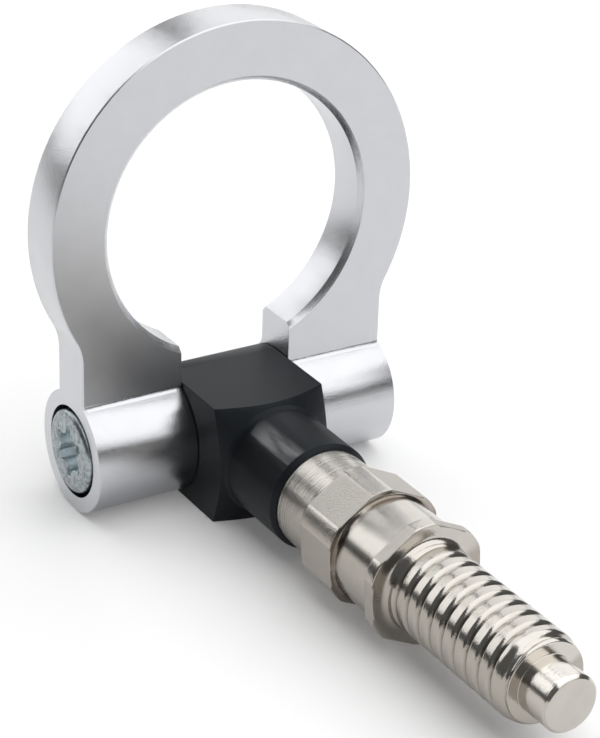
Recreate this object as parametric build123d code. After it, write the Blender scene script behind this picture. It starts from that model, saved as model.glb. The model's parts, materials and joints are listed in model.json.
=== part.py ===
from build123d import *

import os
from math import ceil, radians, tan

# Folding tow eye, in millimetres. The shaft lies along Y with its thread towards -Y,
# and the ring stands up along +Z. The origin is the middle of the flange's front edge,
# which seats in the vehicle's socket.

# Ring: a flat plate with a round eye, two legs and two pivot barrels
ring_outer_radius = 41.0
eye_radius = 28.6
ring_rise = 5.2            # pivot axis to the lowest point of the ring's outer circle
ring_thickness = 10.9
eye_chamfer = 1.1
ring_edge_break = 0.25
leg_gap = 25.2             # free width between the two legs
barrel_span = 69.4         # over both barrel ends
barrel_radius = 12.85
leg_root_fillet = 10.0     # where the round ring runs into the straight legs
barrel_front_fillet = 1.2  # where the legs run into the barrels, towards the thread
barrel_rear_fillet = 3.5   # the same at the back

# Pivot bolts: shoulder bolts with a six-lobe socket
shoulder_radius = 5.0
shoulder_clearance = 0.04
bolt_thread_radius = 4.0
bolt_thread_length = 9.5
bolt_head_radius = 8.8
bolt_head_height = 6.6
bolt_head_proud = 0.8       # head above the barrel's end
bolt_head_chamfer = 0.9
bolt_end_play = 0.15        # between the head and its seat
counterbore_clearance = 0.9  # around the head
socket_rib_count = 6
socket_radius = 5.6         # to the ends of the lobes
socket_core_radius = 3.9    # to the ribs between the lobes
socket_rib_radius = 2.1
socket_depth = 4.2

# Swivel block: a square block, round at the back, with a turned cone and neck in front
block_side_clearance = 0.15
block_half_height = 12.8
block_corner_reach = 19.0   # pivot axis to the front corners
front_cone_angle = 29.0     # from the plane square to the shaft
neck_radius = 11.45
neck_root_chamfer = 0.6
neck_end_chamfer = 0.9
pivot_to_neck_end = 40.6
tapped_hole_clearance = 0.05
tapped_hole_extra_depth = 0.6

# Shaft: collar, rounded hexagon, waist, flange, coarse thread and pilot tip
stud_radius = 7.0
stud_length = 26.0
stud_clearance = 0.05
stud_end_chamfer = 1.0
stud_bore_extra_depth = 1.0
collar_radius = 10.5
collar_length = 11.5
hex_flat_count = 6
hex_across_flats = 23.8
hex_corner_radius = 12.7
hex_length = 10.9
hex_turn = -34.2            # degrees about the shaft, as screwed in
waist_radius = 11.2
waist_hollow_length = 2.0   # the hollow curve from the hexagon down to the waist
flange_rim = 3.0            # the flange keeps the hexagon's section
flange_hollow_length = 1.5  # the hollow curve from the flange down to the thread
seat_to_hex = 14.8
thread_radius = 9.0
thread_pitch = 3.75
thread_depth = 1.1
groove_mouth = 1.4
thread_length = 36.8        # flange seat to the pilot's shoulder
thread_end_length = 3.0     # the last turn tapers over this length
thread_end_drop = 0.7       # and loses this much radius
thread_turn = 133.0         # degrees about the shaft, where the groove runs out at the flange
tip_radius = 5.75
tip_length = 7.6
tip_chamfer = 0.6

match_tolerance = 1e-6      # for finding edges by their size or place

# Places that follow from the sizes above
hex_rear_y = seat_to_hex + hex_length
neck_end_y = hex_rear_y + collar_length
pivot_y = neck_end_y + pivot_to_neck_end
eye_height = ring_outer_radius + ring_rise
gap_half = leg_gap / 2
span_half = barrel_span / 2
block_half_width = gap_half - block_side_clearance
head_top_x = span_half + bolt_head_proud
head_seat_x = head_top_x - bolt_head_height
counterbore_floor_x = head_seat_x - bolt_end_play
counterbore_radius = bolt_head_radius + counterbore_clearance


def nearest_corner(face, x, y):
    return face.vertices().sort_by_distance((x, y, 0))[0]


def circles_of(solid, radius):
    circles = solid.edges().filter_by(GeomType.CIRCLE)
    return circles.filter_by(lambda edge: abs(edge.radius - radius) < match_tolerance)


def x_cylinder(radius, x_from, x_to):
    # About the pivot axis, between two places along it in either order
    return Pos((x_from + x_to) / 2, pivot_y, 0) * Rot(Y=90) * Cylinder(radius, abs(x_to - x_from))


def tow_ring():
    # The plate's outline lies in XY here and is stood up afterwards
    eye_centre = Pos(0, eye_height)
    legs = Pos(0, eye_height / 2) * Rectangle(barrel_span, eye_height)
    outline = eye_centre * Circle(ring_outer_radius) + legs
    shoulder_drop = (ring_outer_radius**2 - span_half**2) ** 0.5
    shoulders = [nearest_corner(outline, side * span_half, eye_height - shoulder_drop) for side in (-1, 1)]
    outline = fillet(shoulders, leg_root_fillet)
    fork = Rectangle(leg_gap, 2 * eye_height)
    outline = outline - eye_centre * Circle(eye_radius) - fork
    plate = extrude(outline, ring_thickness / 2, both=True)
    plate = chamfer(circles_of(plate, eye_radius), eye_chamfer)
    plate = chamfer(circles_of(plate, ring_outer_radius), ring_edge_break)
    ring = Pos(0, pivot_y, 0) * Rot(X=90) * plate
    for side in (-1, 1):
        ring = ring + x_cylinder(barrel_radius, side * gap_half, side * span_half)
    for side, radius in ((-1, barrel_front_fillet), (1, barrel_rear_fillet)):
        root_y = pivot_y + side * ring_thickness / 2
        roots = ring.edges().filter_by(Axis.X).filter_by(lambda e: 0 < e.center().Z < barrel_radius)
        ring = fillet(roots.filter_by(lambda e: abs(e.center().Y - root_y) < match_tolerance), radius)
    for side in (-1, 1):
        bore = x_cylinder(shoulder_radius + shoulder_clearance, 0, side * span_half)
        counterbore = x_cylinder(counterbore_radius, side * counterbore_floor_x, side * head_top_x)
        ring = ring - bore - counterbore
    return ring


def socket_outline():
    # A round hole with round ribs, which leave the lobes between them
    rib_centre = socket_core_radius + socket_rib_radius
    ribs = PolarLocations(rib_centre, socket_rib_count) * Circle(socket_rib_radius)
    return Circle(socket_radius) - ribs


def pivot_bolt():
    # The bolt for the +X side
    head = x_cylinder(bolt_head_radius, head_seat_x, head_top_x)
    head = chamfer(head.edges().sort_by(Axis.X)[-1], bolt_head_chamfer)
    shoulder = x_cylinder(shoulder_radius, block_half_width, head_seat_x)
    thread = x_cylinder(bolt_thread_radius, block_half_width - bolt_thread_length, block_half_width)
    top = Plane(origin=(head_top_x, pivot_y, 0), x_dir=(0, 1, 0), z_dir=(1, 0, 0))
    socket = extrude(top * socket_outline(), -socket_depth)
    return head + shoulder + thread - socket


def swivel_block():
    length = pivot_to_neck_end
    body = Pos(0, pivot_y - length / 2, 0) * Box(2 * block_half_width, length, 2 * block_half_height)
    body = body + x_cylinder(block_half_height, -block_half_width, block_half_width)
    # What the lathe leaves: a cone over the front corners, then the neck
    corner_radius = (block_half_width**2 + block_half_height**2) ** 0.5
    corner_y = pivot_y - block_corner_reach
    neck_root_y = corner_y - (corner_radius - neck_radius) * tan(radians(front_cone_angle))
    rear_y = pivot_y + block_half_height
    turned = make_face(Polyline(
        (0, rear_y),
        (corner_radius, rear_y),
        (corner_radius, corner_y),
        (neck_radius, neck_root_y),
        (neck_radius, neck_end_y + neck_end_chamfer),
        (neck_radius - neck_end_chamfer, neck_end_y),
        (0, neck_end_y),
        close=True,
    ))
    turned = chamfer(nearest_corner(turned, neck_radius, neck_root_y), neck_root_chamfer)
    body = body & revolve(turned, Axis.Y)
    hole_depth = bolt_thread_length + tapped_hole_extra_depth
    for side in (-1, 1):
        hole_end = side * (block_half_width - hole_depth)
        hole = x_cylinder(bolt_thread_radius + tapped_hole_clearance, hole_end, side * span_half)
        body = body - hole
    bore_depth = stud_length + stud_bore_extra_depth
    bore = Cylinder(stud_radius + stud_clearance, bore_depth, align=(Align.CENTER, Align.CENTER, Align.MIN))
    return body - Pos(0, neck_end_y, 0) * Rot(X=-90) * bore


def groove_turns():
    # One turn of the groove, a vee carried along a right-hand helix, set in a row down the thread.
    # The vee goes on outside the thread as far as it is deep, so that it cuts clean through the crest.
    section = Plane.XZ * make_face(Polyline(
        (thread_radius - thread_depth, 0),
        (thread_radius + thread_depth, -groove_mouth),
        (thread_radius + thread_depth, groove_mouth),
        close=True,
    ))
    turn = sweep(section, path=Helix(thread_pitch, thread_pitch, thread_radius), is_frenet=True)
    top = -(flange_hollow_length + groove_mouth)
    count = ceil((thread_length + top) / thread_pitch) + 1
    return [Pos(0, 0, top - (k + 1) * thread_pitch) * Rot(Z=thread_turn) * turn for k in range(count)]


def threaded_shaft():
    # Turned about Z first, with the tip towards -Z, and laid along Y at the end
    stud_end = neck_end_y + stud_length
    tip_end = -(thread_length + tip_length)
    behind = Polyline(
        (0, stud_end),
        (stud_radius - stud_end_chamfer, stud_end),
        (stud_radius, stud_end - stud_end_chamfer),
        (stud_radius, neck_end_y),
        (collar_radius, neck_end_y),
        (collar_radius, hex_rear_y),
        (hex_corner_radius, hex_rear_y),
        (hex_corner_radius, seat_to_hex),
    )
    flange = Polyline(
        (waist_radius, seat_to_hex - waist_hollow_length),
        (waist_radius, flange_rim),
        (hex_corner_radius, flange_rim),
        (hex_corner_radius, 0),
    )
    ahead = Polyline(
        (thread_radius, -flange_hollow_length),
        (thread_radius, -(thread_length - thread_end_length)),
        (thread_radius - thread_end_drop, -thread_length),
        (tip_radius, -thread_length),
        (tip_radius, tip_end + tip_chamfer),
        (tip_radius - tip_chamfer, tip_end),
        (0, tip_end),
    )
    waist_hollow = Bezier(behind @ 1, (waist_radius, seat_to_hex), flange @ 0)
    flange_hollow = Bezier(flange @ 1, (thread_radius, 0), ahead @ 0)
    axis = Line(ahead @ 1, behind @ 0)
    profile = make_face([behind, waist_hollow, flange, flange_hollow, ahead, axis])
    shaft = revolve(Plane.XZ * profile, Axis.Z)
    # Hexagon and flange share their flats, which leave the corners round and miss the waist
    flats = RegularPolygon(hex_across_flats / 2, hex_flat_count, major_radius=False, rotation=hex_turn)
    around = Circle(2 * hex_corner_radius) - flats
    shaft = shaft - Pos(0, 0, -flange_hollow_length) * extrude(around, flange_hollow_length + hex_rear_y)
    for turn in groove_turns():
        shaft = shaft - turn
    return Rot(X=-90) * shaft


right_bolt = pivot_bolt()
nodes = {
    "tow_ring": tow_ring(),
    "swivel_block": swivel_block(),
    "pivot_bolt_right": right_bolt,
    "pivot_bolt_left": mirror(right_bolt, Plane.YZ),
    "threaded_shaft": threaded_shaft(),
}
os.makedirs("parts", exist_ok=True)
for name, solid in nodes.items():
    export_step(solid, f"parts/{name}.step")
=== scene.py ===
import json
import math

import bmesh
import bpy
import numpy as np
from mathutils import Matrix, Vector


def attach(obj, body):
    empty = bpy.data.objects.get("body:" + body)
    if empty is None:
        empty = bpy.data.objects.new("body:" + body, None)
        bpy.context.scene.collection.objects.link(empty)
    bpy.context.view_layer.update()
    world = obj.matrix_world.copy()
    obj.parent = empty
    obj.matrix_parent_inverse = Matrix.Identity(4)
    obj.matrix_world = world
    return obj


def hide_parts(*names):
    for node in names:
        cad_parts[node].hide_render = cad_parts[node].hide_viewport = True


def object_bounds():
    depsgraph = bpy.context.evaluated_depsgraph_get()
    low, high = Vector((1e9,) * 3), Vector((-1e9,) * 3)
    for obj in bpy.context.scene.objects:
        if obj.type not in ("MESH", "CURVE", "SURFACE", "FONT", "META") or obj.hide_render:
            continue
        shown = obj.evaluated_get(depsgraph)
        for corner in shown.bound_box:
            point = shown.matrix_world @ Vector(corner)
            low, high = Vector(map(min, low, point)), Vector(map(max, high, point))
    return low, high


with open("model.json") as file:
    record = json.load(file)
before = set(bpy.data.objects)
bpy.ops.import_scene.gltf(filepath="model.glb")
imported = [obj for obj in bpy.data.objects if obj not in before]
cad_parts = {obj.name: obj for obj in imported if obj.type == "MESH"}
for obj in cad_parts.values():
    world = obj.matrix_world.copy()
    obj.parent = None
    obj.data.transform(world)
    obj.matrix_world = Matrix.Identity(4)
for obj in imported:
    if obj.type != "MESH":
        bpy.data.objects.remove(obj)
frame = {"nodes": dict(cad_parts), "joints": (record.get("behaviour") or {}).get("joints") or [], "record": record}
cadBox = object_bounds()
print("frame loaded:", sorted(frame["nodes"]))

mm = 0.001
mounts = {mount["name"]: mount for mount in frame["record"]["mounts"]}
pivot = np.array(frame["joints"][0]["pos_m"]) / mm  # the ring's pivot, in millimetres
threadRadius = mounts["thread"]["dims"]["r_mm"]
threadLength = mounts["thread"]["dims"]["length_mm"]
tipRadius = mounts["pilot_tip"]["dims"]["r_mm"]
floorHeight = cadBox[0][2]


# Shader maths: a wire is one socket, and sums and products of wires add Math nodes
class Wire:
    def __init__(self, tree, socket=None):
        self.tree = tree
        self.socket = socket

    def feed(self, socket, value):
        if isinstance(value, Wire):
            self.tree.links.new(value.socket, socket)
        else:
            socket.default_value = value

    def node(self, kind, settings=(), values=(), out=0):
        # settings go on first, then sockets get a number, a colour or another wire
        made = self.tree.nodes.new(kind)
        for name, value in dict(settings).items():
            setattr(made, name, value)
        for name, value in dict(values).items():
            self.feed(made.inputs[name], value)
        return Wire(self.tree, made.outputs[out])

    def math(self, operation, first, second):
        return self.node("ShaderNodeMath", {"operation": operation}, {0: first, 1: second})

    def __add__(self, other):
        return self.math("ADD", self, other)

    def __sub__(self, other):
        return self.math("SUBTRACT", self, other)

    def __mul__(self, other):
        return self.math("MULTIPLY", self, other)

    def __rsub__(self, other):
        return self.math("SUBTRACT", other, self)

    __radd__ = __add__
    __rmul__ = __mul__


def blankMaterial(name):
    material = bpy.data.materials.new(name)
    material.use_nodes = True
    tree = material.node_tree
    return material, Wire(tree), tree.nodes["Principled BSDF"].inputs


def objectPlace(wire):
    return wire.node("ShaderNodeTexCoord", out="Object")


def axisPart(wire, vector, axis):
    return wire.node("ShaderNodeSeparateXYZ", {}, {0: vector}, out=axis)


def grain(wire, scale, detail, stretch=(1, 1, 1)):
    # noise on Object coordinates, scale in features per metre
    place = wire.node("ShaderNodeMapping", {}, {"Vector": objectPlace(wire), "Scale": stretch})
    return wire.node("ShaderNodeTexNoise", {}, {"Vector": place, "Scale": scale, "Detail": detail})


def stretched(wire, value, low, high):
    # a value from low to high spread over 0 to 1
    return wire.node("ShaderNodeMapRange", {}, {"Value": value, "From Min": low, "From Max": high})


def eitherWay(wire, value, low, high):
    # the same for how far a value is from 0, whichever its sign
    return stretched(wire, value * value, low ** 2, high ** 2)


def between(wire, axis, low, high):
    # 0 before the first place along an axis, 1 beyond the second
    return stretched(wire, axisPart(wire, objectPlace(wire), axis), low, high)


def blend(wire, share, first, second):
    # a colour is three numbers or a wire
    first, second = [shade if isinstance(shade, Wire) else (*shade, 1) for shade in (first, second)]
    return wire.node("ShaderNodeMix", {"data_type": "RGBA"}, {0: share, 6: first, 7: second}, out=2)


def tinted(wire, share, shade, tint):
    # a colour times a tint, as far as the share goes
    settings = {"data_type": "RGBA", "blend_type": "MULTIPLY"}
    return wire.node("ShaderNodeMix", settings, {0: share, 6: shade, 7: (*tint, 1)}, out=2)


def bump(wire, height, depth):
    return wire.node("ShaderNodeBump", {}, {"Strength": 1.0, "Distance": depth, "Height": height})


# Looks are in metres. A fade is where a change of finish begins and where it is complete.
# A grain is its features per metre, its detail and, where it is drawn out, its stretch.
satinLook = {
    "light": (0.62, 0.628, 0.65), "dark": (0.56, 0.568, 0.59),
    "cloud": (180, 3.0), "bead": (3600, 2.0), "beadDepth": 0.000045, "faceBead": 0.5,
    "roughness": 0.31, "turnedRoughness": 0.24, "cloudRoughness": 0.05, "beadRoughness": 0.08,
    "plateFade": (0.0131, 0.0137),  # from the pivot axis
    "faceFade": (0.005, 0.0053),  # from the middle of the plate's thickness
    "barrelEndFade": (0.0346, 0.0343),  # from the middle of the pivot axis
    # painted shade: the tint on the lower side of the left barrel, and where it fades
    "paintedShadeTint": (0.66, 0.66, 0.67), "lowFade": (0.001, -0.006), "leftFade": (0.02, -0.02),
}


def satinAluminium():
    look = satinLook
    material, wire, inputs = blankMaterial("satin_aluminium")
    cloud = grain(wire, *look["cloud"])
    bead = grain(wire, *look["bead"])
    # the flat faces are rougher than the turned rim, eye and barrels
    fromPivot = {"Vector": objectPlace(wire), "Location": tuple(-pivot * mm), "Scale": (0, 1, 1)}
    place = wire.node("ShaderNodeMapping", {}, fromPivot)
    away = wire.node("ShaderNodeVectorMath", {"operation": "LENGTH"}, {0: place}, out="Value")
    plate = stretched(wire, away, *look["plateFade"])
    faces = plate * eitherWay(wire, axisPart(wire, place, "Y"), *look["faceFade"])
    # and the left barrel's lower side is darker, a painted shade, but not on its end
    sides = eitherWay(wire, axisPart(wire, objectPlace(wire), "X"), *look["barrelEndFade"])
    paintedShade = (1 - plate) * between(wire, "Z", *look["lowFade"]) * sides
    paintedShade = paintedShade * between(wire, "X", *look["leftFade"])
    shade = blend(wire, cloud, look["dark"], look["light"])
    wire.feed(inputs["Base Color"], tinted(wire, paintedShade, shade, look["paintedShadeTint"]))
    rough = look["turnedRoughness"] + (look["roughness"] - look["turnedRoughness"]) * faces
    rough = rough + look["beadRoughness"] * (bead - 0.5) + look["cloudRoughness"] * (cloud - 0.5)
    wire.feed(inputs["Roughness"], rough)
    wire.feed(inputs["Normal"], bump(wire, bead * (1 - look["faceBead"] * faces), look["beadDepth"]))
    inputs["Metallic"].default_value = 1.0
    return material


blackLook = {
    "light": (0.0085, 0.0102, 0.0128), "dark": (0.0045, 0.0055, 0.007),
    "cloud": (260, 3.0), "bead": (5200, 2.0), "beadDepth": 0.000006,
    "roughness": 0.45, "beadRoughness": 0.1, "ior": 1.3, "sheen": (0.84, 0.93, 1.0),
    # painted highlight: the coat on the neck's upper left, and where it fades
    "neckCoat": 1.0, "neckRoughness": 0.11, "neckIor": 1.75,
    "neckLipFade": (0.0382, 0.0384), "neckRootFade": (0.0486, 0.0546),
    "highlightTopFade": (0.0077, 0.0087), "highlightLeftFade": (-0.0034, -0.0052),
}


def blackAnodised():
    look = blackLook
    material, wire, inputs = blankMaterial("black_aluminium")
    cloud = grain(wire, *look["cloud"])
    bead = grain(wire, *look["bead"])
    wire.feed(inputs["Base Color"], blend(wire, cloud, look["dark"], look["light"]))
    wire.feed(inputs["Roughness"], look["roughness"] + look["beadRoughness"] * (bead - 0.5))
    wire.feed(inputs["Normal"], bump(wire, bead, look["beadDepth"]))
    inputs["IOR"].default_value = look["ior"]
    inputs["Specular Tint"].default_value = (*look["sheen"], 1)
    # a clear coat only on the turned neck's upper left: a painted highlight
    neck = between(wire, "Y", *look["neckLipFade"]) - between(wire, "Y", *look["neckRootFade"])
    paintedHighlight = between(wire, "Z", *look["highlightTopFade"]) * between(wire, "X", *look["highlightLeftFade"])
    wire.feed(inputs["Coat Weight"], look["neckCoat"] * neck * paintedHighlight)
    inputs["Coat Roughness"].default_value = look["neckRoughness"]
    inputs["Coat IOR"].default_value = look["neckIor"]
    return material


nickelLook = {
    "light": (0.6, 0.574, 0.534), "dark": (0.505, 0.48, 0.44), "cloud": (320, 4.0),
    "roughness": 0.15, "flatRoughness": 0.42, "cloudRoughness": 0.08,
    "turning": (3000, 2.0, (0.006, 1, 0.006)), "turnDepth": 0.000012, "collarDepth": 0.00011,
    "pits": (1900, 3.0), "pitDepth": 0.00007, "grit": (3600, 1.0), "gritDepth": 0.000016, "hexGrit": 0.00004,
    "hexFade": (0.0147, 0.0149), "collarFade": (0.0257, 0.0259),
    "tip": (0.7, 0.67, 0.625), "tipFade": (-0.0366, -0.037), "tipSideFade": (-0.0443, -0.044),
    # painted shade: the tint on the lower sides, and where it fades
    "paintedShadeTint": (0.72, 0.7, 0.68), "lowFade": (0.56, 0.38),  # 1 faces straight up
    "lowCloud": 0.12, "lowSideFade": (-0.0443, -0.0441),
    # painted shade in the groove, the hollows and the thread's root
    "hollowShade": (0.42, 0.38, 0.345), "shadeCloud": (0.2, 0.5), "rootShade": 0.1, "grooveShade": 0.85,
    "hollowFade": (0.0126, 0.0139), "rootFade": (-0.0042, -0.0008), "rootEndFade": (-0.0004, 0.0004),
}


def nickelSteel():
    look = nickelLook
    material, wire, inputs = blankMaterial("nickel_steel")
    # marks are 1 on the milled flats and fall to -1 at the bottom of the thread's groove
    marks = wire.node("ShaderNodeAttribute", {"attribute_name": "marks"}, out="Fac")
    flat = stretched(wire, marks, 0, 1)
    groove = stretched(wire, marks, 0, -1)
    cloud = grain(wire, *look["cloud"])
    turning = grain(wire, *look["turning"])  # rings round the shaft
    pits = grain(wire, *look["pits"])
    grit = grain(wire, *look["grit"])
    rear = between(wire, "Y", *look["hexFade"])
    collar = between(wire, "Y", *look["collarFade"])
    # lighter on the tip's side
    shade = blend(wire, cloud, look["dark"], look["light"])
    tip = between(wire, "Y", *look["tipFade"]) * between(wire, "Y", *look["tipSideFade"])
    shade = blend(wire, tip, shade, look["tip"])
    # painted shade: darker on the lower sides, but not on the tip's end
    place = wire.node("ShaderNodeMapping", {}, {"Vector": objectPlace(wire), "Scale": (1, 0, 1)})
    outward = wire.node("ShaderNodeVectorMath", {"operation": "NORMALIZE"}, {0: place})
    upward = axisPart(wire, outward, "Z") + look["lowCloud"] * (cloud - 0.5)
    paintedShade = stretched(wire, upward, *look["lowFade"]) * between(wire, "Y", *look["lowSideFade"])
    shade = tinted(wire, paintedShade, shade, look["paintedShadeTint"])
    # and painted shade, in patches, in the groove and in the two hollows, before the hexagon and at the thread's
    # root
    hollow = between(wire, "Y", *look["hollowFade"]) - rear
    root = between(wire, "Y", *look["rootFade"]) - between(wire, "Y", *look["rootEndFade"])
    patches = stretched(wire, cloud, *look["shadeCloud"])
    shadedRecesses = (hollow + look["rootShade"] * root) * patches + look["grooveShade"] * groove
    wire.feed(inputs["Base Color"], tinted(wire, shadedRecesses, shade, look["hollowShade"]))
    plain = look["roughness"] + look["cloudRoughness"] * (cloud - 0.5)
    wire.feed(inputs["Roughness"], plain + (look["flatRoughness"] - look["roughness"]) * flat)
    rings = look["turnDepth"] + (look["collarDepth"] - look["turnDepth"]) * collar
    coarse = look["gritDepth"] + (look["hexGrit"] - look["gritDepth"]) * rear
    height = rings * turning * (1 - flat) + look["pitDepth"] * pits * flat + coarse * grit
    wire.feed(inputs["Normal"], bump(wire, height, 1.0))
    inputs["Metallic"].default_value = 1.0
    return material


zincLook = {
    "light": (0.42, 0.465, 0.48), "dark": (0.21, 0.235, 0.245),
    "cloud": (900, 4.0), "cloudSpread": (0.32, 0.68),
    "pits": (1700, 3.0), "pit": (0.1, 0.115, 0.12), "pitSpread": (0.4, 0.32), "pitDepth": 0.00004,
    "socket": (0.82, 0.88, 0.9), "roughness": 0.3, "pitRoughness": 0.2,
}


def zincSteel():
    look = zincLook
    material, wire, inputs = blankMaterial("zinc_steel")
    inside = wire.node("ShaderNodeAttribute", {"attribute_name": "marks"}, out="Fac")
    cloud = stretched(wire, grain(wire, *look["cloud"]), *look["cloudSpread"])
    pits = grain(wire, *look["pits"])
    worn = blend(wire, cloud, look["dark"], look["light"])
    worn = blend(wire, stretched(wire, pits, *look["pitSpread"]), worn, look["pit"])
    wire.feed(inputs["Base Color"], blend(wire, inside, worn, look["socket"]))
    wire.feed(inputs["Roughness"], look["roughness"] + look["pitRoughness"] * (pits - 0.5))
    wire.feed(inputs["Normal"], bump(wire, pits, look["pitDepth"]))
    inputs["Metallic"].default_value = 1.0
    return material


# Surfaces: everything below works in millimetres and turns into metres in surfaceMesh
samePoint = 1e-6  # points of a path that are nearer than this are one
weldDistance = 0.002  # and so are points of a finished grid


def roundedPath(corners, steps=6):
    # a corner (along, out, round) becomes a short curve: a quadratic Bezier that starts one round
    # before the corner, ends one round after it and has the corner as its middle point
    corners = np.array(corners, float)
    place, cut = corners[:, :2], corners[:, 2:]
    run = np.diff(place, axis=0)
    aim = run / np.linalg.norm(run, axis=1, keepdims=True)
    start = place - np.vstack([aim[:1], aim]) * cut
    end = place + np.vstack([aim, aim[-1:]]) * cut
    t = np.linspace(0, 1, steps)[None, :, None]
    curve = (1 - t) ** 2 * start[:, None] + 2 * t * (1 - t) * place[:, None] + t ** 2 * end[:, None]
    path = curve.reshape(-1, 2)
    moved = np.linalg.norm(np.diff(path, axis=0), axis=1) > samePoint
    return path[np.append(True, moved)]


def refinedPath(path, step):
    # every stretch is split into equal runs no longer than step, which may differ from stretch to stretch
    length = np.linalg.norm(np.diff(path, axis=0), axis=1)
    runs = np.maximum(1, np.ceil(length / step)).astype(int)
    first = np.repeat(np.arange(len(runs)), runs)
    share = (np.arange(runs.sum()) - np.repeat(np.cumsum(runs) - runs, runs)) / np.repeat(runs, runs)
    fine = path[first] + (path[first + 1] - path[first]) * share[:, None]
    return np.vstack([fine, path[-1:]])


def softMin(first, second, width):
    # the smaller of two numbers, rounded off where they are within width of each other
    share = np.clip(0.5 + 0.5 * (second - first) / width, 0, 1)
    return second + (first - second) * share - width * share * (1 - share)


def surfaceMesh(name, points, material, marks):
    # a grid of points, rows along the piece and columns round it, closed round and ended by a pole each way
    rows, columns = points.shape[:2]
    inner = points[1:-1].reshape(-1, 3)
    poles = np.array([points[0].mean(axis=0), points[-1].mean(axis=0)])
    row, column = np.meshgrid(np.arange(rows - 3), np.arange(columns), indexing="ij")
    following = (column + 1) % columns
    here, over = row * columns + column, row * columns + following
    quads = np.stack([here, over, over + columns, here + columns], axis=-1).reshape(-1, 4)
    ring = np.arange(columns)
    after = (ring + 1) % columns
    last = (rows - 3) * columns
    head = np.stack([np.full(columns, len(inner)), after, ring], axis=-1)
    tail = np.stack([np.full(columns, len(inner) + 1), last + ring, last + after], axis=-1)
    places = np.vstack([inner, poles]) * mm
    mesh = bpy.data.meshes.new(name)
    mesh.from_pydata(places.tolist(), [], quads.tolist() + head.tolist() + tail.tolist())
    layer = mesh.attributes.new("marks", "FLOAT", "POINT")
    layer.data.foreach_set("value", np.append(marks[1:-1].ravel(), [marks[0].mean(), marks[-1].mean()]))
    shell = bmesh.new()
    shell.from_mesh(mesh)
    bmesh.ops.remove_doubles(shell, verts=shell.verts, dist=weldDistance * mm)
    bmesh.ops.recalc_face_normals(shell, faces=shell.faces)
    shell.to_mesh(mesh)
    shell.free()
    mesh.polygons.foreach_set("use_smooth", [True] * len(mesh.polygons))
    mesh.materials.append(material)
    piece = bpy.data.objects.new(name, mesh)
    bpy.context.scene.collection.objects.link(piece)
    return piece


# Shaft: stud, collar, rounded hexagon, waist, flange, thread and pilot tip, all about the Y axis
shaftSizes = {
    "studEnd": 63.2, "studRadius": 7.0, "studChamfer": 1.0,
    "neckEnd": 37.2, "collarRadius": 10.5,
    "hexRear": 25.7, "hexFront": 14.8, "hexFrontRound": 0.1, "cornerRadius": 12.7,
    "flats": 6, "acrossFlats": 23.8, "hexTurn": 4.2, "flatRound": 0.12, "flatFade": 0.05,
    "waistRadius": 11.2, "waistHollow": 0.8, "flangeRim": 3.0, "flangeFront": 0.2, "flangeHollow": 1.4,
    "threadEnd": 3.0, "threadEndDrop": 0.7, "pitch": 3.75, "groovePlace": -8.03, "grooveStart": 1.2,
    "grooveDepth": 1.05, "grooveMouth": 1.45, "grooveRound": 0.32, "grooveFade": (0.25, 0.875),
    "tipLength": 7.6, "tipChamfer": 0.6, "tipRound": 0.15, "edgeRound": 0.3,
    "columns": 264, "step": 0.75, "threadStep": 0.2, "studStep": 4.0,
}


def shaftPath():
    # the shaft's profile from the stud's end to the tip's end, as places along Y and radii
    s = shaftSizes
    tipEnd = -(threadLength + s["tipLength"])
    edge, tipRound = s["edgeRound"], s["tipRound"]
    path = roundedPath([
        (s["studEnd"], 0, 0),
        (s["studEnd"], s["studRadius"] - s["studChamfer"], 0),
        (s["studEnd"] - s["studChamfer"], s["studRadius"], 0),
        (s["neckEnd"], s["studRadius"], 0),
        (s["neckEnd"], s["collarRadius"], edge),
        (s["hexRear"], s["collarRadius"], edge),
        (s["hexRear"], s["cornerRadius"], edge),
        (s["hexFront"], s["cornerRadius"], s["hexFrontRound"]),
        (s["hexFront"], s["waistRadius"], s["waistHollow"]),
        (s["flangeRim"], s["waistRadius"], edge),
        (s["flangeRim"], s["cornerRadius"], edge),
        (s["flangeFront"], s["cornerRadius"], edge),
        (0, threadRadius, s["flangeHollow"]),
        (s["threadEnd"] - threadLength, threadRadius, edge),
        (-threadLength, threadRadius - s["threadEndDrop"], edge),
        (-threadLength, tipRadius, tipRound),
        (tipEnd + s["tipChamfer"], tipRadius, tipRound),
        (tipEnd, tipRadius - s["tipChamfer"], tipRound),
        (tipEnd, 0, 0),
    ])
    onThread = (path[:-1, 0] <= -s["flangeHollow"]) & (path[1:, 0] >= -threadLength)
    onStud = path[1:, 0] >= s["neckEnd"]
    return refinedPath(path, np.where(onThread, s["threadStep"], np.where(onStud, s["studStep"], s["step"])))


def flatRadius(turn):
    # a flat lies at half the width across flats, divided by the cosine of the angle from its middle
    s = shaftSizes
    wedge = 2 * np.pi / s["flats"]
    off = (turn - np.radians(s["hexTurn"]) + wedge / 2) % wedge - wedge / 2
    return s["acrossFlats"] / 2 / np.cos(off)


def stepUp(out, low, high, outline):
    # a step from a low radius to a high one: its share of the rise, taken up to the outline instead
    risen = (out - low) / (high - low)
    return low + (outline - low) * np.clip(risen, 0, 1)


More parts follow.
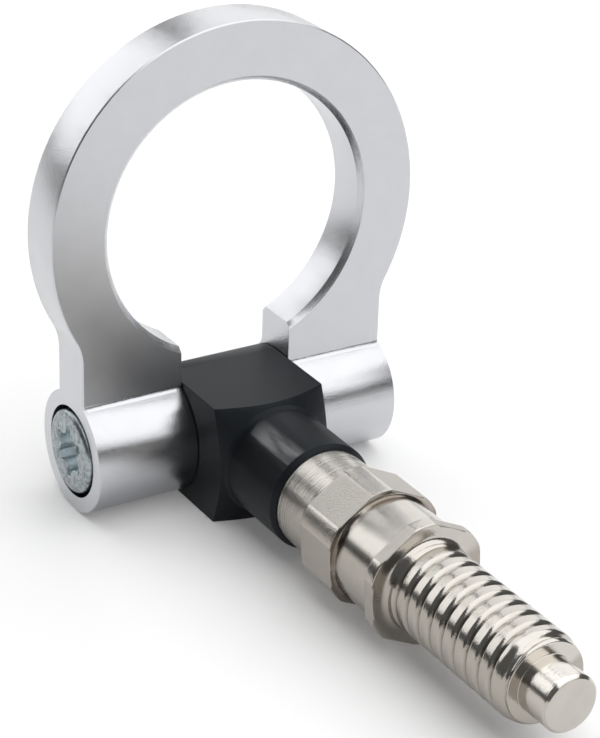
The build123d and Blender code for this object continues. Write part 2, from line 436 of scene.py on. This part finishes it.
def hexagonRadius(along, out, flat):
    # the profile's radius or the flat's, whichever is smaller, on the hexagon's front, waist and flange,
    # and steps up to the hexagon's outline on the two faces that look towards the collar
    s = shaftSizes
    radius = np.repeat(out, flat.shape[1], axis=1)
    outline = softMin(np.full_like(flat, s["cornerRadius"]), flat, s["flatRound"])
    middle = (s["hexRear"] + s["hexFront"]) / 2
    onRear = (along > middle) & (out > s["collarRadius"])
    onFlange = (along <= s["flangeRim"]) & (along > s["flangeRim"] / 2) & (out > s["waistRadius"])
    onFront = (along <= middle) & (along >= -s["flangeHollow"])
    rear = stepUp(out, s["collarRadius"], s["cornerRadius"], outline)
    flange = stepUp(out, s["waistRadius"], s["cornerRadius"], outline)
    radius = np.where(onFront, softMin(radius, flat, s["flatRound"]), radius)
    return np.where(onRear, rear, np.where(onFlange, flange, radius))


def grooveDepth(along, turn):
    # a right-hand groove whose middle moves one pitch towards the tip for each turn on,
    # a vee across, rounded at its edges
    s = shaftSizes
    phase = (along - s["groovePlace"]) / s["pitch"] + turn / (2 * np.pi)
    away = np.abs((phase + 0.5) % 1 - 0.5) * s["pitch"]
    vee = s["grooveDepth"] * (1 - away / (s["grooveMouth"] / 2))
    return -softMin(-vee, np.zeros_like(vee), s["grooveRound"])


def shaftPiece(material):
    # the profile turned about Y: X and Z are the radius times the cosine and the sine of the turn
    s = shaftSizes
    path = shaftPath()
    along, out = path[:, :1], path[:, 1:]
    turn = np.radians(s["hexTurn"]) + np.linspace(0, 2 * np.pi, s["columns"], endpoint=False)[None, :]
    flat = flatRadius(turn)
    radius = hexagonRadius(along, out, flat)

    # the groove starts gently at the flange, is never cut below its floor, and stops at the tip
    begun = np.clip((-s["flangeHollow"] - along) / s["grooveStart"], 0, 1)
    beforeTip = along >= -threadLength
    floor = np.minimum(radius, threadRadius - s["grooveDepth"])
    grooved = np.maximum(radius - grooveDepth(along, turn) * begun, floor)
    radius = np.where(beforeTip, grooved, radius)
    points = np.stack([radius * np.cos(turn), along + 0 * radius, radius * np.sin(turn)], axis=-1)

    # marks: 1 where a flat cuts the profile, down to -1 at the bottom of the groove
    onFlats = (along >= -s["flangeHollow"]) & (along <= s["hexRear"])
    milled = np.clip((out - flat) / s["flatFade"], 0, 1) * onFlats
    sunk = np.interp((threadRadius - radius) / s["grooveDepth"], s["grooveFade"], (0, 1))
    sunk = sunk * begun * beforeTip * (along > s["threadEnd"] - threadLength)
    piece = surfaceMesh("turned_shaft", points, material, milled - sunk)
    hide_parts("threaded_shaft")
    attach(piece, "shaft")


# Pivot bolts: plain shank, shoulder, round head and six-lobe socket, about the pivot axis
boltSizes = {
    "shankEnd": 2.95, "shankRadius": 4.0, "shankRound": 0.4,
    "shoulder": 12.45, "shoulderRadius": 5.0, "shoulderRound": 0.1,
    "headSeat": 28.9, "headTop": 35.5, "headRadius": 8.8, "headRound": 1.3, "seatRound": 0.3,
    "ribs": 6, "lobeReach": 5.6, "ribReach": 3.9, "ribRadius": 2.1, "ribRound": 0.35, "ribRise": 8,
    "faceReach": 1.2, "lipReach": 0.9, "lipRound": 0.3, "lipFade": 0.3,
    "socketDepth": 4.0, "socketDraft": 0.12, "footRound": 0.15, "footReach": 1.0,
    "socketCone": 0.7, "coneRows": 8, "columns": 240, "step": 0.5, "socketStep": 0.35,
}


def headPath():
    # the bolt's profile from the shank's end to its face, as places along the axis and radii
    b = boltSizes
    path = roundedPath([
        (b["shankEnd"], 0, 0),
        (b["shankEnd"], b["shankRadius"], b["shankRound"]),
        (b["shoulder"], b["shankRadius"], 0),
        (b["shoulder"], b["shoulderRadius"], b["shoulderRound"]),
        (b["headSeat"], b["shoulderRadius"], b["shoulderRound"]),
        (b["headSeat"], b["headRadius"], b["seatRound"]),
        (b["headTop"], b["headRadius"], b["headRound"]),
        (b["headTop"], b["lobeReach"] + b["faceReach"], 0),
    ])
    return refinedPath(path, b["step"])


def socketRadius(turn):
    # a round hole with round ribs, each rib a circle seen from the axis,
    # centre * cos - sqrt(radius^2 - centre^2 * sin^2), which rises steeply beyond its edges
    b = boltSizes
    wedge = 2 * np.pi / b["ribs"]
    off = (turn + wedge / 2) % wedge - wedge / 2
    centre = b["ribReach"] + b["ribRadius"]
    aside = np.abs(centre * np.sin(off))
    rib = centre * np.cos(off) - np.sqrt(np.maximum(b["ribRadius"] ** 2 - aside ** 2, 0))
    rib = rib + b["ribRise"] * np.maximum(aside - b["ribRadius"], 0)
    return softMin(np.full_like(rib, b["lobeReach"]), rib, b["ribRound"])


def boltPiece(name, node, side, material):
    # the profile turned about the pivot axis, then the socket: its wall's radius plus what the lip's path
    # adds, down to the foot, and from there a shrinking share of it that sinks to the cone's point
    b = boltSizes
    outside = headPath()
    turn = np.linspace(0, 2 * np.pi, b["columns"], endpoint=False)[None, :]
    wall = socketRadius(turn)
    foot = b["headTop"] - b["socketDepth"]
    lip = refinedPath(roundedPath([
        (b["headTop"], b["lipReach"], 0),
        (b["headTop"], 0, b["lipRound"]),
        (foot, -b["socketDraft"], b["footRound"]),
        (foot, -b["footReach"], 0),
    ]), b["socketStep"])
    share = np.linspace(1, 0, b["coneRows"])[1:, None]
    along = np.vstack([outside[:, :1], lip[:, :1], foot - b["socketCone"] * (1 - share)])
    radius = np.vstack([
        np.repeat(outside[:, 1:], b["columns"], axis=1),
        wall + lip[:, 1:],
        (wall - b["footReach"]) * share,
    ])
    points = np.stack([
        side * (along + 0 * radius),
        pivot[1] + radius * np.cos(turn),
        pivot[2] + radius * np.sin(turn),
    ], axis=-1)
    # marks: 1 inside the socket
    inside = np.clip((b["headTop"] - along) / b["lipFade"], 0, 1)
    inside = inside * (np.arange(len(along))[:, None] >= len(outside))
    piece = surfaceMesh(name, points, material, inside + 0 * radius)
    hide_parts(node)
    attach(piece, "shaft")


# Ring and block keep their solids, with every edge rounded a little
edgeSizes = {
    "tow_ring": 0.2, "swivel_block": 0.2,
    "weld": 0.001, "flatAngle": 0.3, "edgeAngle": 25, "segments": 3,
}


def finishNode(node, material):
    piece = frame["nodes"][node]
    piece.data.materials.clear()
    piece.data.materials.append(material)
    weld = piece.modifiers.new("weld", "WELD")
    weld.merge_threshold = edgeSizes["weld"] * mm
    flatten = piece.modifiers.new("flatten", "DECIMATE")
    flatten.decimate_type = "DISSOLVE"
    flatten.angle_limit = math.radians(edgeSizes["flatAngle"])
    rounding = piece.modifiers.new("round", "BEVEL")
    rounding.width = edgeSizes[node] * mm
    rounding.segments = edgeSizes["segments"]
    rounding.limit_method = "ANGLE"
    rounding.angle_limit = math.radians(edgeSizes["edgeAngle"])
    rounding.harden_normals = True


ringMaterial = satinAluminium()
blockMaterial = blackAnodised()
shaftMaterial = nickelSteel()
boltMaterial = zincSteel()
print("materials made")

shaftPiece(shaftMaterial)
boltPiece("socket_bolt_left", "pivot_bolt_left", -1, boltMaterial)
boltPiece("socket_bolt_right", "pivot_bolt_right", 1, boltMaterial)
finishNode("tow_ring", ringMaterial)
finishNode("swivel_block", blockMaterial)
print("pieces made")

# Floor, light and camera, in metres
stageSizes = {"floor": 8.0, "floorColour": 0.88, "floorLift": 0.12, "worldLight": 0.12}


def whiteFloor():
    half = stageSizes["floor"] / 2
    mesh = bpy.data.meshes.new("floor")
    corners = [(-half, -half), (half, -half), (half, half), (-half, half)]
    mesh.from_pydata([(x, y, floorHeight) for x, y in corners], [], [(0, 1, 2, 3)])
    material, wire = blankMaterial("pale_floor")[:2]
    shade = stageSizes["floorColour"]
    diffuse = wire.node("ShaderNodeBsdfDiffuse", {}, {"Color": (shade, shade, shade, 1)})
    # lifted towards white where it is seen, directly or in a reflection
    camera = wire.node("ShaderNodeLightPath", out="Is Camera Ray")
    glossy = wire.node("ShaderNodeLightPath", out="Is Glossy Ray")
    through = wire.node("ShaderNodeLightPath", out="Is Transmission Ray")
    lift = stageSizes["floorLift"] * (camera + glossy + through)
    white = wire.node("ShaderNodeEmission", {}, {"Color": (1, 1, 1, 1), "Strength": lift})
    both = wire.node("ShaderNodeAddShader", {}, {0: diffuse, 1: white})
    wire.feed(material.node_tree.nodes["Material Output"].inputs["Surface"], both)
    mesh.materials.append(material)
    floor = bpy.data.objects.new("floor", mesh)
    bpy.context.scene.collection.objects.link(floor)


def studioWorld():
    world = bpy.data.worlds.new("studio")
    world.use_nodes = True
    background = world.node_tree.nodes["Background"].inputs
    background["Color"].default_value = (1, 1, 1, 1)
    background["Strength"].default_value = stageSizes["worldLight"]
    bpy.context.scene.world = world


# one soft box overhead and three bright panels behind, with a dark gap between left and right
lampSizes = {
    "key_light": {"place": (0.95, -1.29, 1.6), "facing": (0, 0, -1), "size": (3.2, 5.42), "radiance": 1.55},
    "left_wall": {"place": (-0.59, 2, 1.175), "facing": (0, -1, 0), "size": (1.72, 1.91), "radiance": 1.45},
    "far_left_wall": {"place": (-1.88, 2, 1.5), "facing": (0, -1, 0), "size": (0.85, 1.68), "radiance": 1.3},
    "right_wall": {"place": (1.61, 2, 1.125), "facing": (0, -1, 0), "size": (1.98, 2.01), "radiance": 1.17},
}


def softBox(name, place, facing, size, radiance):
    # an area lamp of this radiance gives off radiance * pi * area
    lamp = bpy.data.lights.new(name, "AREA")
    lamp.shape = "RECTANGLE"
    lamp.size, lamp.size_y = size
    lamp.energy = radiance * math.pi * size[0] * size[1]
    box = bpy.data.objects.new(name, lamp)
    box.location = place
    box.rotation_euler = Vector(facing).to_track_quat("-Z", "Y").to_euler()
    bpy.context.scene.collection.objects.link(box)


# lens and sensor in millimetres, roll in degrees
cameraSizes = {
    "place": (-0.22014, -0.31008, 0.22900), "target": (0.004771, 0.054873, 0.019550),
    "lens": 116.825, "sensor": 36, "roll": 1.837, "nearest": 0.01,
}


def photoCamera():
    data = bpy.data.cameras.new("camera")
    data.lens = cameraSizes["lens"]
    data.sensor_width = cameraSizes["sensor"]
    data.clip_start = cameraSizes["nearest"]
    camera = bpy.data.objects.new("camera", data)
    place = Vector(cameraSizes["place"])
    aim = (Vector(cameraSizes["target"]) - place).to_track_quat("-Z", "Y")
    roll = Matrix.Rotation(math.radians(cameraSizes["roll"]), 4, "Z")
    camera.matrix_world = Matrix.Translation(place) @ aim.to_matrix().to_4x4() @ roll
    bpy.context.scene.collection.objects.link(camera)
    bpy.context.scene.camera = camera


whiteFloor()
studioWorld()
for lampName, lampSize in lampSizes.items():
    softBox(lampName, **lampSize)
photoCamera()
bpy.context.scene.view_settings.view_transform = "Standard"
print("stage set")
